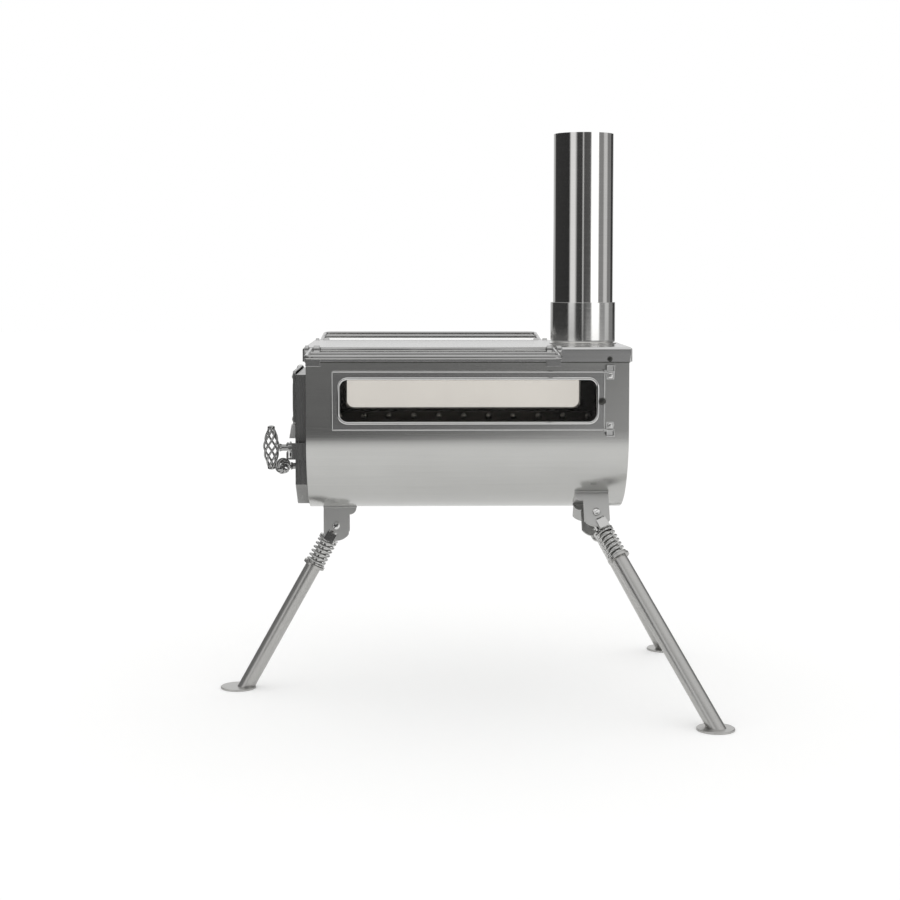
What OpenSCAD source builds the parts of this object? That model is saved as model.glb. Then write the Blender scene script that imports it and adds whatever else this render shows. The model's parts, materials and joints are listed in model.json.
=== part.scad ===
// Portable wood stove for a tent. A round-bottomed steel firebox lies along X, with its
// door at -X and its flue at +X. It stands on three folding legs. Millimetres, +Z up,
// origin on the ground below the firebox. The -Y side is the near side.

/* [Firebox] */
// Length of the firebox
body_l = 374; // [370:1:380]
// Radius of the round bottom, which is half of the width
body_r = 100; // [98:1:104]
// Height of the round bottom's axis above the ground
axis_z = 324; // [316:1:332]
// Height of the top plate's upper face above the ground
top_z = 421.5; // [418:0.5:426]
// Thickness of the steel sheet
sheet = 1.2; // [1:0.1:1.5]
// Depth of the top plate's folded lip
lip_h = 17; // [14:1:18]

/* [Flue] */
// Distance of the flue's axis behind the origin
flue_x = 144.5; // [140:0.5:146]
// Outside radius of the flue pipe
pipe_r = 36; // [34:0.5:36]
// Height of the pipe's upper end above the ground
pipe_top_z = 673.5; // [560:0.5:760]
// Height of the collar above the top plate
collar_h = 50; // [40:1:60]

/* [Side windows] */
// Length of the window frame
frame_l = 316; // [310:1:322]
// Height of the window frame
frame_h = 69; // [64:1:70]
// Length of the glass that shows
light_l = 296; // [280:1:297]
// Height of the glass that shows
light_h = 48; // [40:1:50]
// Height of the window's centre above the ground
window_z = 359.5; // [358:0.5:361]

/* [Door] */
// Half of the door's width
door_w = 76; // [74:0.5:77]
// Height of the door's upper edge above the ground
door_top_z = 388; // [386:0.5:390]
// Depth of the door pan
door_d = 13.5; // [12:0.1:13.8]

/* [Racks] */
// Length of a side rack
rack_l = 283; // [270:0.5:284]
// Width of a side rack, from its hinge's axis to its outer edge
rack_w = 99.4; // [90:0.1:100]
// Thickness of the rack's bent rod
rack_rod = 4; // [3.6:0.1:4.4]
// Distance of the rack's middle rod from its hinge's axis
rack_mid = 59; // [30:1:80]

/* [Legs] */
// Distance of a foot's centre from the origin, along X
foot_x = 275; // [265:1:285]
// Angle from straight down of the two rear legs, seen along the firebox
rear_splay = 31.7; // [28:0.1:33]
// Outside radius of the leg tube
tube_r = 9.5; // [9:0.5:10]
// Radius of a foot plate
foot_r = 21.5; // [19:0.5:24]
// Turns in a lock spring
spring_turns = 6; // [5:1:7]

/* [Handles] */
// Length of a basket handle
basket_l = 52; // [46:1:54]
// Largest radius of a basket handle
basket_r = 9.7; // [8:0.1:10]
// Number of wires in a basket handle
basket_wires = 6; // [4:1:8]

/* [Hidden] */

STEEL = [0.72, 0.72, 0.70];
BRIGHT = [0.84, 0.84, 0.83];
SMOKE = [0.25, 0.24, 0.22];
PANE = [0.78, 0.77, 0.72, 0.35];
FELT = [0.85, 0.83, 0.78];

// Shared clearances
run = 0.1;          // radial gap of a running fit
seam = 0.3;         // gap between two sheets that lie together
weld = 0.02;        // gap left in the model where two solids are welded
$fn = 64;

// Firebox
body_x = 2;         // the middle of the firebox, along X
x_front = body_x - body_l / 2;
x_back = body_x + body_l / 2;
fold_r = 4;         // outside radius of the top plate's folds
shell_top = top_z - fold_r - 0.2;
flange_l = 12;      // depth of the end plates' folded flange
plate_t = 1.5;      // thickness of the end plates

// Flue
pipe_wall = 0.8;
collar_r = 39;
ledge_r = 33;       // radius of the opening inside the collar's ledge
ledge_h = 4.5;

// Side windows
frame_d = 6;        // how far the frame stands out from the wall
window_x = 2.5;
light_r = 9;
glass_t = 4;
gasket_t = 0.6;

// Inside of the firebox
liner_r = 95.5;
liner_t = 1.5;
liner_l = 344;
liner_low_z = 264;
liner_top_z = 331;
liner_hole_z = 325;
liner_pitch = 31.6;
grate_z = 262;
grate_t = 2.5;
grate_w = 70;
grate_leg_y = 40;

// Door
door_x = x_front - seam;            // the edge of the door pan, beside the front plate
door_face_x = door_x - door_d;      // the outside of the door's plate
door_low_z = 232;
door_knee_z = 259;                  // where the lower corners are cut off
door_low_w = 38;
mouth_w = 66;                       // half of the width of the opening behind the door
mouth_low_w = 32;
mouth_low_z = 243;
mouth_knee_z = 264;
mouth_top_z = 381;
pane_w = 64;                        // half of the width of the door's window frame
pane_low_z = 328;
pane_top_z = 391.5;
pane_d = 3.5;
pane_light_w = 52;
pane_light_low_z = 341;
pane_light_top_z = 378;

// Door hinge
hinge_x = -203;
hinge_y = 82;
knuckle_r = 5;
pin_r = 2.5;
hinge_h = 36;
hinge_z = [268, 350.8];
knuckle_gap = 0.4;
knuckle_h = (hinge_h - 2 * knuckle_gap) / 3;

// Latch and damper
latch_y = -68;
latch_z = 302;
latch_basket_x = -227.5;
stem_r = 3.8;
tongue_l = 13.5;
tongue_t = 2;
tongue_x = -206;                    // the outside of the latch's tongue
keeper_y = -93.5;
keeper_z = [290.5, 309.5];
keeper_x = -208;
damper_z = 272.5;
damper_r = 24;
damper_basket_x = -219.3;
damper_hole_r = 4.5;
damper_hole_at = 14;
basket_wire = 2.2;
basket_end_r = 2.7;                 // where the wires meet the caps
basket_cap_h = 3;
basket_turn = 200;                  // twist of each wire, end to end
basket_rings = 14;

// Racks
rack_x = -180;                      // the rack's front edge
hinge_rod_r = 2.5;
hinge_rod_y = body_r + 6.2;         // axis of the rack hinge, from the middle
hinge_rod_z = top_z - 2.5;
rack_bend_r = 8;
mid_rod_r = 1.8;
lug_w = 17;
lug_eye_r = 4.6;
lug_t = 1.9;
lug_low_z = 399;
lug_foot_h = 5;
lug_side_gap = 0.8;                 // room beside and below the rack's side rod
lug_x = [-185, 92.5];               // the front edge of each lug
droop_near = 2.5;                   // how far each rack hangs below level, in degrees
droop_far = -3.5;

// Legs: [pivot x, side of the foot, angle about X, pivot's distance from the axis,
//        x of the leg's axis where it reaches the ground]
LEG_FRONT = [-154, -1, 0, 122.5, -266.6];
LEG_REAR_NEAR = [154, 1, -rear_splay, 124, 277];
LEG_REAR_FAR = [154, 1, rear_splay, 124, 277];
ear_gap = 26.2;
ear_t = 2.5;
ear_r = 18.4;
ear_in = 15;
ear_out = 15.4;
shoulder_in = 24.2;
shoulder_h = 12;
shoulder_round = 8;
bolt_r = 3;
bolt_head_r = 4.8;
bolt_head_h = 3;
eye_r = 8.5;
rod_r = 7.5;
tube_wall = 1.5;
plug_end_s = 72;
washer_r = 13.4;
washer_s = [55.5, 58.5];
collar_s = [19, 21];                // the lock collar's plate, along the leg
arm_w = 12;
arm_t = 1.6;
arm_top_s = 10;
ear_slot_s = 8.9;                   // the slot above a lock arm, along the leg
spring_r = 10.7;
spring_wire = 2.6;
spring_s = [collar_s[1] + 0.05, washer_s[0]];
foot_t = 2.5;
leg_reach = 330;                    // longer than any leg, which the foot plate cuts off

// ---- helpers ----------------------------------------------------------------------

// Extrudes an outline drawn as [y, z] along X, from x0.
module along_x(x0, l) {
    translate([x0, 0, 0]) rotate([90, 0, 90]) linear_extrude(l) children();
}

// Extrudes an outline drawn as [x, z] along Y, from y0 to y1.
module along_y(y0, y1) {
    translate([0, y1, 0]) rotate([90, 0, 0]) linear_extrude(y1 - y0) children();
}

// The far side is the near side in a mirror.
module far() {
    mirror([0, 1, 0]) children();
}

// A rectangle with round corners, centred.
module round_rect(w, h, r) {
    square([w - 2 * r, h], center = true);
    square([w, h - 2 * r], center = true);
    for (sx = [-1, 1], sy = [-1, 1])
        translate([sx * (w / 2 - r), sy * (h / 2 - r)]) circle(r);
}

// The firebox's cross section: round below the axis, straight above it.
module trough(r, top) {
    translate([0, axis_z]) circle(r, $fn = 128);
    translate([-r, axis_z]) square([2 * r, top - axis_z]);
}

// Cross section with what rises above the top cut away.
module trough_cut(r, top) {
    intersection() {
        trough(r, top);
        translate([-r - 1, 0]) square([2 * r + 2, top]);
    }
}

// A plate with its two lower corners cut off, drawn as [y, z].
function knee_plate(w, top, knee, low_w, low) = [
    [-w, top], [-w, knee], [-low_w, low], [low_w, low], [w, knee], [w, top]
];

// A box with round edges on top: used twice for the top plate.
module lid_block(l, w, top, low, r) {
    intersection() {
        along_y(-w, w) lid_profile(l, top, low, r);
        along_x(-l, 2 * l) lid_profile(w, top, low, r);
    }
}

module lid_profile(w, top, low, r) {
    translate([-w, low]) square([2 * w, top - low - r]);
    translate([-w + r, low]) square([2 * (w - r), top - low]);
    for (s = [-1, 1]) translate([s * (w - r), top - r]) circle(r, $fn = 32);
}

// ---- firebox ----------------------------------------------------------------------

module firebox_shell() {
    color(STEEL) difference() {
        along_x(x_front, body_l) trough_cut(body_r, shell_top);
        along_x(x_front - 1, body_l + 2) trough(body_r - sheet, top_z + 10);
        translate([window_x, 0, window_z]) rotate([90, 0, 0])
            linear_extrude(3 * body_r, center = true)
                round_rect(light_l + 2, light_h + 2, light_r);
    }
}

// An end plate: a flat plate with a flange that is folded into the shell.
module end_plate(x0, flange_x0) {
    inner = body_r - sheet;
    along_x(x0, plate_t) trough_cut(inner, shell_top);
    difference() {
        along_x(flange_x0, flange_l) trough_cut(inner, shell_top);
        along_x(flange_x0 - 1, flange_l + 2) trough(inner - plate_t, top_z + 10);
    }
}

module front_plate() {
    color(STEEL) difference() {
        end_plate(x_front, x_front);
        along_x(x_front - 1, flange_l)
            polygon(knee_plate(mouth_w, mouth_top_z, mouth_knee_z, mouth_low_w, mouth_low_z));
    }
}

module rear_plate() {
    color(STEEL) end_plate(x_back - plate_t, x_back - flange_l);
}

module top_plate() {
    side_gap = 0.3;
    end_gap = 2.2;
    corner_r = 3;
    lip_low = top_z - lip_h;
    half_l = body_l / 2 + end_gap;
    half_w = body_r + side_gap;
    color(BRIGHT) difference() {
        translate([body_x, 0, 0]) intersection() {
            lid_block(half_l + sheet, half_w + sheet, top_z, lip_low, fold_r);
            translate([0, 0, lip_low - 1]) linear_extrude(lip_h + 2)
                round_rect(2 * (half_l + sheet), 2 * (half_w + sheet), corner_r);
        }
        translate([body_x, 0, 0])
            lid_block(half_l, half_w, top_z - sheet, lip_low - 5, fold_r - sheet);
        translate([flue_x, 0, top_z - 5]) cylinder(h = 10, r = ledge_r + 0.5);
    }
}

module flue_collar() {
    bore_r = pipe_r + 0.08;
    base_r = 40.5;
    foot_bend = 5;
    color(BRIGHT) translate([flue_x, 0, top_z]) difference() {
        union() {
            cylinder(h = 1, r = base_r);
            rotate_extrude() {
                square([collar_r - foot_bend, collar_h]);
                translate([0, foot_bend]) square([collar_r, collar_h - foot_bend]);
                translate([collar_r - foot_bend, foot_bend]) circle(foot_bend, $fn = 48);
            }
        }
        translate([0, 0, -1]) cylinder(h = collar_h, r = ledge_r);
        translate([0, 0, ledge_h]) cylinder(h = collar_h, r = bore_r);
    }
}

module flue_pipe() {
    low = top_z + ledge_h + 0.05;
    color(BRIGHT) translate([flue_x, 0, low]) difference() {
        cylinder(h = pipe_top_z - low, r = pipe_r);
        translate([0, 0, -1]) cylinder(h = pipe_top_z - low + 2, r = pipe_r - pipe_wall);
    }
}

// ---- side windows, drawn on the near side ------------------------------------------

// Extrudes an outline drawn as [x, z] about the window's centre, between two
// distances from the middle of the firebox.
module on_wall(d0, d1) {
    translate([window_x, 0, window_z]) along_y(-d1, -d0) children();
}

module window_frame() {
    color(STEEL) difference() {
        on_wall(body_r, body_r + frame_d) round_rect(frame_l, frame_h, 2.5);
        on_wall(body_r - 1, body_r + frame_d - sheet)
            round_rect(frame_l - 2 * sheet, frame_h - 2 * sheet, 2);
        on_wall(body_r, body_r + frame_d + 1) round_rect(light_l, light_h, light_r);
    }
}

module window_glass() {
    color(PANE) on_wall(body_r + gasket_t, body_r + gasket_t + glass_t)
        round_rect(light_l + 14, light_h + 14, 3);
}

module window_gasket() {
    color(FELT) difference() {
        on_wall(body_r, body_r + gasket_t) round_rect(light_l + 14, light_h + 14, 3);
        on_wall(body_r - 1, body_r + 1) round_rect(light_l + 2, light_h + 2, light_r);
    }
}

// Two clips on the wall hold the frame's rear end. Each is a plate with a small cup on
// it, which has a lip over the frame's corner.
module window_clips() {
    plate_w = 9.6;
    at = [frame_l / 2 + 1.4 + plate_w / 2, 33];
    for (s = [-1, 1]) color(BRIGHT) {
        on_wall(body_r, body_r + 1.5)
            translate([at[0], s * at[1]]) round_rect(plate_w, 17, 1.5);
        difference() {
            on_wall(body_r, body_r + frame_d + 1.4)
                translate([at[0], s * (at[1] + 4.5)]) round_rect(plate_w, 8, 1);
            on_wall(body_r + 2.5, body_r + 2 * frame_d)
                translate([at[0], s * (at[1] + 4.5)]) round_rect(plate_w - 2.4, 5.6, 1);
        }
        on_wall(body_r + frame_d + 0.1, body_r + frame_d + 1.4)
            translate([frame_l / 2 + 0.2, s * (frame_h / 2 - 0.6)]) square([4, 2.8], center = true);
    }
}

module side_liner() {
    color(SMOKE) difference() {
        intersection() {
            along_x(body_x - liner_l / 2, liner_l) trough_cut(liner_r, liner_top_z);
            translate([-body_l, -body_r, liner_low_z])
                cube([2 * body_l, body_r - 30, liner_top_z - liner_low_z]);
        }
        along_x(-body_l, 2 * body_l) trough(liner_r - liner_t, top_z);
        for (i = [-5:5])
            translate([i * liner_pitch + 3, -body_r, liner_hole_z]) rotate([-90, 0, 0])
                cylinder(h = 20, r = 3.2, $fn = 24);
    }
}

// A slotted grate on two long feet that stand in the trough.
module fire_grate() {
    slot_w = 8;
    pitch = 22;
    foot_low = axis_z - sqrt(pow(body_r - sheet, 2) - pow(grate_leg_y + 1, 2)) + 0.4;
    color(SMOKE) {
        difference() {
            translate([body_x - liner_l / 2, -grate_w, grate_z]) cube([liner_l, 2 * grate_w, grate_t]);
            for (i = [-7:7], s = [-1, 1])
                translate([i * pitch, s * 32, grate_z - 1])
                    linear_extrude(grate_t + 2) round_rect(slot_w, 48, 3.9, $fn = 24);
        }
        for (s = [-1, 1])
            translate([body_x - liner_l / 2, s * grate_leg_y - 1, foot_low])
                cube([liner_l, 2, grate_z - foot_low - weld]);
    }
}

// ---- door hinge --------------------------------------------------------------------

module knuckle(z) {
    translate([hinge_x, hinge_y, z]) cylinder(h = knuckle_h, r = knuckle_r, $fn = 48);
}

module hinge_bore(z) {
    translate([hinge_x, hinge_y, z - 5]) cylinder(h = hinge_h + 10, r = pin_r + 0.08, $fn = 48);
}

// The fixed leaf: two knuckles on arms, and a foot welded to the front plate.
module hinge_leaf(z) {
    arm_y = hinge_y + 2.3;
    color(STEEL) difference() {
        union() {
            for (k = [0, 2]) {
                kz = z + k * (knuckle_h + knuckle_gap);
                knuckle(kz);
                translate([hinge_x, arm_y, kz])
                    cube([x_front - hinge_x, knuckle_r - 2.3, knuckle_h]);
            }
            translate([x_front - 1.5, arm_y, z]) cube([1.5, 9.5, hinge_h]);
        }
        hinge_bore(z);
    }
}

module hinge_pin(z) {
    color(BRIGHT) translate([hinge_x, hinge_y, 0]) {
        translate([0, 0, z - 1.2]) cylinder(h = hinge_h + 1.2, r = pin_r, $fn = 48);
        intersection() {
            translate([0, 0, z + hinge_h]) sphere(knuckle_r - 0.3, $fn = 48);
            translate([0, 0, z + hinge_h]) cylinder(h = knuckle_r, r = knuckle_r);
        }
        translate([0, 0, z - 2.4]) cylinder(h = 1.2, r = 3.4, $fn = 48);
    }
}

// The door's leaf: one knuckle and a strap on the door's face.
module door_strap(z) {
    strap_t = 1.7;
    kz = z + knuckle_h + knuckle_gap;
    color(STEEL) difference() {
        union() {
            knuckle(kz);
            translate([door_face_x - strap_t, pane_w + 1, kz])
                cube([strap_t, hinge_y - 2 - pane_w - 1, knuckle_h]);
            translate([door_face_x - strap_t, pane_w + 1, z + 3])
                cube([strap_t, door_w - pane_w - 1.5, hinge_h - 6]);
        }
        hinge_bore(z);
    }
}

// ---- door --------------------------------------------------------------------------

module damper_holes(x0, l) {
    translate([x0, 0, damper_z]) rotate([0, 90, 0])
        for (a = [45:90:359])
            rotate([0, 0, a]) translate([damper_hole_at, 0, 0])
                cylinder(h = l, r = damper_hole_r, $fn = 32);
}

module door_panel() {
    color(STEEL) difference() {
        along_x(door_face_x, door_d)
            polygon(knee_plate(door_w, door_top_z, door_knee_z, door_low_w, door_low_z));
        along_x(door_face_x + sheet, door_d)
            polygon(knee_plate(door_w - sheet, door_top_z - sheet, door_knee_z + 0.6,
                               door_low_w - 0.6, door_low_z + sheet));
        along_x(door_face_x - 1, 5)
            translate([0, (pane_light_low_z + pane_light_top_z) / 2])
                round_rect(2 * pane_light_w + 4, pane_light_top_z - pane_light_low_z + 4, 8);
        damper_holes(door_face_x - 1, 5);
        translate([door_face_x - 1, 0, damper_z]) rotate([0, 90, 0])
            cylinder(h = 5, r = stem_r + run);
        translate([door_face_x - 1, latch_y, latch_z]) rotate([0, 90, 0])
            cylinder(h = 5, r = stem_r + run);
    }
}

module pane_outline(grow) {
    translate([0, (pane_light_low_z + pane_light_top_z) / 2])
        round_rect(2 * (pane_light_w + grow), pane_light_top_z - pane_light_low_z + 2 * grow, 8);
}

module door_window_frame() {
    mid_z = (pane_low_z + pane_top_z) / 2;
    h = pane_top_z - pane_low_z;
    color(STEEL) difference() {
        along_x(door_face_x - pane_d, pane_d)
            translate([0, mid_z]) round_rect(2 * pane_w, h, 4);
        along_x(door_face_x - pane_d + sheet, pane_d)
            translate([0, mid_z]) round_rect(2 * (pane_w - sheet), h - 2 * sheet, 3);
        along_x(door_face_x - pane_d - 1, 5) pane_outline(0);
    }
}

module door_glass() {
    color(PANE) along_x(door_face_x + sheet + 0.1, glass_t) pane_outline(6);
}

module door_retainer() {
    color(STEEL) difference() {
        along_x(door_face_x + sheet + glass_t + 0.2, sheet) pane_outline(8);
        along_x(door_face_x, 20) pane_outline(1);
    }
}

// A bent hood over the air inlet below the glass, with closed ends.
module vent_hood() {
    half = 50;
    top = pane_low_z - 0.5;
    low = 311;
    face = door_face_x;
    color(BRIGHT) difference() {
        along_y(-half, half)
            polygon([[face, top], [face - 6.3, top], [face - 9, low], [face, low]]);
        along_y(-half + 1.2, half - 1.2) polygon([[face + 1, top - 1.3],
            [face - 5.2, top - 1.3], [face - 7.9, low - 1], [face + 1, low - 1]]);
    }
}

// ---- handles -----------------------------------------------------------------------

// A tube along points that go round the Z axis, as one closed solid with flat ends.
module tube_along(points, r, sides) {
    n = len(points);
    rings = [for (i = [0:n - 1])
        let (a = points[max(i - 1, 0)], b = points[min(i + 1, n - 1)],
             t = (b - a) / norm(b - a), out = [points[i][0], points[i][1], 0],
             u = cross(out, t) / norm(cross(out, t)), v = cross(t, u))
        for (k = [0:sides - 1])
            points[i] + r * (cos(k * 360 / sides) * u + sin(k * 360 / sides) * v)];
    walls = [for (i = [0:n - 2], k = [0:sides - 1])
        let (a = i * sides + k, b = i * sides + (k + 1) % sides)
        each [[b, a, b + sides], [b + sides, a, a + sides]]];
    caps = [for (k = [1:sides - 2])
        each [[0, k, k + 1], [(n - 1) * sides, (n - 1) * sides + k + 1, (n - 1) * sides + k]]];
    polyhedron(points = rings, faces = concat(walls, caps), convexity = 4);
}

// Distance of a basket wire from the basket's axis, for u from 0 to 1 along it.
function basket_at(u) =
    basket_end_r + (basket_r - basket_wire / 2 - basket_end_r) * sin(180 * u);

// Centre line of one basket wire along Z. Its ends run straight, square to the caps.
function basket_wire_points(first_angle) =
    let (half = basket_l / 2 - basket_cap_h - 0.02, lead = basket_wire)
    [for (i = [-1:basket_rings + 1])
        let (u = min(max(i / basket_rings, 0), 1), a = first_angle + basket_turn * u,
             z = i < 0 ? -half : i > basket_rings ? half : (2 * u - 1) * (half - lead))
        [basket_at(u) * cos(a), basket_at(u) * sin(a), z]];

// A twisted cage of wires along Z, centred, with a small cap at each end.
module basket() {
    cap_r = basket_end_r + basket_wire / 2 + 0.4;
    for (w = [0:basket_wires - 1])
        tube_along(basket_wire_points(w * 360 / basket_wires), basket_wire / 2, 6);
    for (s = [-1, 1]) translate([0, 0, s * (basket_l - basket_cap_h) / 2])
        cylinder(h = basket_cap_h, r = cap_r, center = true, $fn = 32);
}

module latch_basket() {
    color(BRIGHT) translate([latch_basket_x, latch_y, latch_z]) basket();
}

module damper_basket() {
    color(BRIGHT) translate([damper_basket_x, 0, damper_z]) rotate([90, 0, 0]) basket();
}

// A turned stem along X, from inside the door out to its basket.
module stem(x_in, x_out) {
    translate([x_out, 0, 0]) rotate([0, 90, 0]) {
        cylinder(h = x_in - x_out, r = stem_r);
        cylinder(h = 3, r1 = stem_r + 1, r2 = stem_r);
    }
    translate([x_in - 2, 0, 0]) rotate([0, 90, 0]) cylinder(h = 2, r = stem_r + 2.5);
}

module latch_stem() {
    inside_x = door_face_x + sheet + 2.3;
    color(BRIGHT) translate([0, latch_y, latch_z]) {
        stem(inside_x, latch_basket_x + basket_r + 0.05);
        translate([tongue_x, -4, -tongue_l + 4]) cube([tongue_t, 8, tongue_l - 4]);
        for (z = [-tongue_l + 4, 0])
            translate([tongue_x, 0, z]) rotate([0, 90, 0]) cylinder(h = tongue_t, r = z == 0 ? 7 : 4);
        translate([tongue_x, 0, 0]) rotate([0, 90, 0])
            cylinder(h = door_face_x - tongue_x - 0.3, r = stem_r + 1.4);
    }
}

module damper_disc() {
    disc_t = 1.6;
    color(BRIGHT) {
        difference() {
            translate([door_face_x - 0.4 - disc_t, 0, damper_z]) rotate([0, 90, 0])
                cylinder(h = disc_t, r = damper_r);
            damper_holes(door_face_x - 5, 6);
        }
        translate([0, 0, damper_z])
            stem(door_face_x + sheet + 2.3, damper_basket_x + basket_r + 0.05);
    }
}

// A channel on the front plate that the latch's tongue turns into. Its side has a
// window, and its outer wall is open beside the latch's stem.
module latch_keeper() {
    t = 1.5;
    low = keeper_z[0];
    h = keeper_z[1] - keeper_z[0];
    color(STEEL) difference() {
        union() {
            translate([keeper_x, keeper_y, low]) cube([x_front - keeper_x, t, h]);
            translate([keeper_x, keeper_y, low]) cube([t, 15.5, h]);
            translate([x_front - t, keeper_y, low]) cube([t, 11.5, h]);
        }
        translate([keeper_x + t + 0.2, keeper_y - 1, low + 2]) cube([4.6, t + 2, h - 4]);
        translate([keeper_x - 1, keeper_y - 1, latch_z - 3]) cube([t + 2, 20, 7]);
    }
}

// ---- racks, drawn on the near side --------------------------------------------------

module rod_x(x0, x1, y, z, r) {
    translate([x0, y, z]) rotate([0, 90, 0]) cylinder(h = x1 - x0, r = r, $fn = 32);
}

// The rack in its own plane: the hinge rod lies on the X axis, the rack reaches to -Y.
// A bent rod is welded to the hinge rod, and a middle rod between the bent rod's sides.
module rack_flat() {
    r = rack_rod / 2;
    x0 = rack_x + r;
    x1 = rack_x + rack_l - r;
    outer = -rack_w + r;
    rod_x(lug_x[0] - 1, lug_x[1] + lug_w + 1, 0, 0, hinge_rod_r);
    difference() {
        union() {
            rod_x(x0 + rack_bend_r, x1 - rack_bend_r, outer, 0, r);
            for (x = [x0, x1]) side_rod(x, -outer - rack_bend_r, r);
            for (c = [[x0 + rack_bend_r, 180], [x1 - rack_bend_r, 270]])
                translate([c[0], outer + rack_bend_r, 0]) rotate([0, 0, c[1]])
                    rotate_extrude(angle = 90, $fn = 48)
                        translate([rack_bend_r, 0]) circle(r, $fn = 32);
        }
        rod_x(x0 - rack_rod, x1 + rack_rod, 0, 0, hinge_rod_r + weld);
    }
    difference() {
        rod_x(x0, x1, -rack_mid, 0, mid_rod_r);
        for (x = [x0, x1]) side_rod(x, rack_w, r + weld);
    }
}

module side_rod(x, l, r) {
    translate([x, 0, 0]) rotate([90, 0, 0]) cylinder(h = l, r = r, $fn = 32);
}

module rack(droop) {
    color(BRIGHT) translate([0, -hinge_rod_y, hinge_rod_z]) rotate([droop, 0, 0]) rack_flat();
}

// Two lugs on the wall below the lip. Each has two eyes for the rack's hinge rod, with
// a gap between them for the rack's side rod.
module rack_lugs() {
    plate_y = -hinge_rod_y + lug_eye_r - lug_t;
    side_x = [rack_x + rack_rod / 2, rack_x + rack_l - rack_rod / 2];
    gap_w = rack_rod + 2 * lug_side_gap;
    for (i = [0, 1]) let (x = lug_x[i]) color(STEEL) difference() {
        union() {
            translate([x, plate_y, lug_low_z])
                cube([lug_w, lug_t, hinge_rod_z - lug_low_z]);
            translate([x, plate_y, lug_low_z]) cube([lug_w, -body_r - plate_y, lug_foot_h]);
            rod_x(x, x + lug_w, -hinge_rod_y, hinge_rod_z, lug_eye_r);
        }
        rod_x(x - 1, x + lug_w + 1, -hinge_rod_y, hinge_rod_z, hinge_rod_r + run);
        translate([side_x[i] - gap_w / 2, -2 * body_r, hinge_rod_z - rack_rod / 2 - lug_side_gap])
            cube([gap_w, 2 * body_r, 20]);
        rod_x(side_x[i] - gap_w / 2, side_x[i] + gap_w / 2, -hinge_rod_y, hinge_rod_z,
              lug_eye_r + lug_side_gap);
    }
}

// ---- legs ---------------------------------------------------------------------------

// Puts a piece, drawn about the pivot with the foot towards +X, in its place.
module at_leg(leg) {
    translate([leg[0], 0, axis_z]) rotate([leg[2], 0, 0]) translate([0, 0, -leg[3]])
        mirror([leg[1] < 0 ? 1 : 0, 0, 0]) children();
}

// Angle of a leg from straight away from the firebox.
function leg_angle(leg) =
    atan(abs(leg[4] - leg[0]) / (axis_z / cos(leg[2]) - leg[3]));

// Draws along the leg: the piece's -Z runs from the pivot to the foot.
module down_leg(leg) {
    at_leg(leg) rotate([0, -leg_angle(leg), 0]) children();
}

// A cylinder along the leg between two distances from the pivot.
module leg_rod_between(s, r, fn = 48) {
    translate([0, 0, -s[1]]) cylinder(h = s[1] - s[0], r = r, $fn = fn);
}

// One ear's outline as [x, z] about the pivot, up to the firebox, with a shoulder on
// the side away from the foot.
module ear_outline(top) {
    intersection() {
        union() {
            circle(ear_r);
            translate([-30, 0]) square([60, top]);
        }
        translate([-ear_in, -30]) square([ear_in + ear_out, 30 + top]);
    }
    translate([-shoulder_in, top - shoulder_h]) {
        translate([shoulder_round, 0]) square([shoulder_in - shoulder_round, shoulder_h]);
        translate([0, shoulder_round]) square([shoulder_in, shoulder_h - shoulder_round]);
        translate([shoulder_round, shoulder_round]) circle(shoulder_round, $fn = 48);
    }
}

module leg_bracket(leg) {
    top = leg[3] - body_r + 3;
    half = ear_gap / 2 + ear_t;
    color(STEEL) at_leg(leg) difference() {
        union() {
            for (y = [-half, ear_gap / 2]) along_y(y, y + ear_t) ear_outline(top);
            intersection() {
                translate([-50, 0, leg[3]]) rotate([0, 90, 0])
                    cylinder(h = 100, r = body_r + 2, $fn = 128);
                translate([-shoulder_in, -19, 0]) cube([shoulder_in + ear_out, 38, 60]);
            }
        }
        translate([-60, 0, leg[3]]) rotate([0, 90, 0])
            cylinder(h = 120, r = body_r + 0.02, $fn = 128);
        rotate([90, 0, 0]) cylinder(h = 60, r = bolt_r + 0.05, center = true, $fn = 48);
        rotate([0, -leg_angle(leg), 0]) rotate([90, 0, 0])
            linear_extrude(60, center = true)
                translate([0, -ear_slot_s]) round_rect(11, 2.6, 1.2);
    }
}

module pivot_bolt(leg) {
    half = ear_gap / 2 + ear_t;
    color(BRIGHT) at_leg(leg) {
        rotate([90, 0, 0]) cylinder(h = 2 * half + 3, r = bolt_r, center = true, $fn = 48);
        translate([0, -half, 0]) rotate([90, 0, 0])
            cylinder(h = bolt_head_h, r1 = bolt_head_r, r2 = bolt_head_r - 1, $fn = 48);
        translate([0, half, 0]) rotate([-90, 0, 0]) cylinder(h = 4, r = 5.4, $fn = 6);
    }
}

module leg_rod(leg) {
    eye_w = ear_gap - 0.6;
    color(BRIGHT) down_leg(leg) difference() {
        union() {
            leg_rod_between([0, washer_s[1]], rod_r);
            leg_rod_between([washer_s[1], plug_end_s], tube_r - tube_wall);
            rotate([90, 0, 0]) cylinder(h = eye_w, r = eye_r, center = true, $fn = 48);
        }
        rotate([90, 0, 0]) cylinder(h = 60, r = bolt_r + run, center = true, $fn = 48);
    }
}

module leg_tube(leg) {
    color(STEEL) difference() {
        down_leg(leg) {
            difference() {
                leg_rod_between([washer_s[1] + weld, leg_reach], tube_r);
                leg_rod_between([washer_s[0], leg_reach + 1], tube_r - tube_wall + weld);
            }
            difference() {
                leg_rod_between(washer_s, washer_r);
                leg_rod_between([0, leg_reach], rod_r + weld);
            }
        }
        translate([-600, -600, -400]) cube([1200, 1200, 400 + foot_t]);
    }
}

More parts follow.
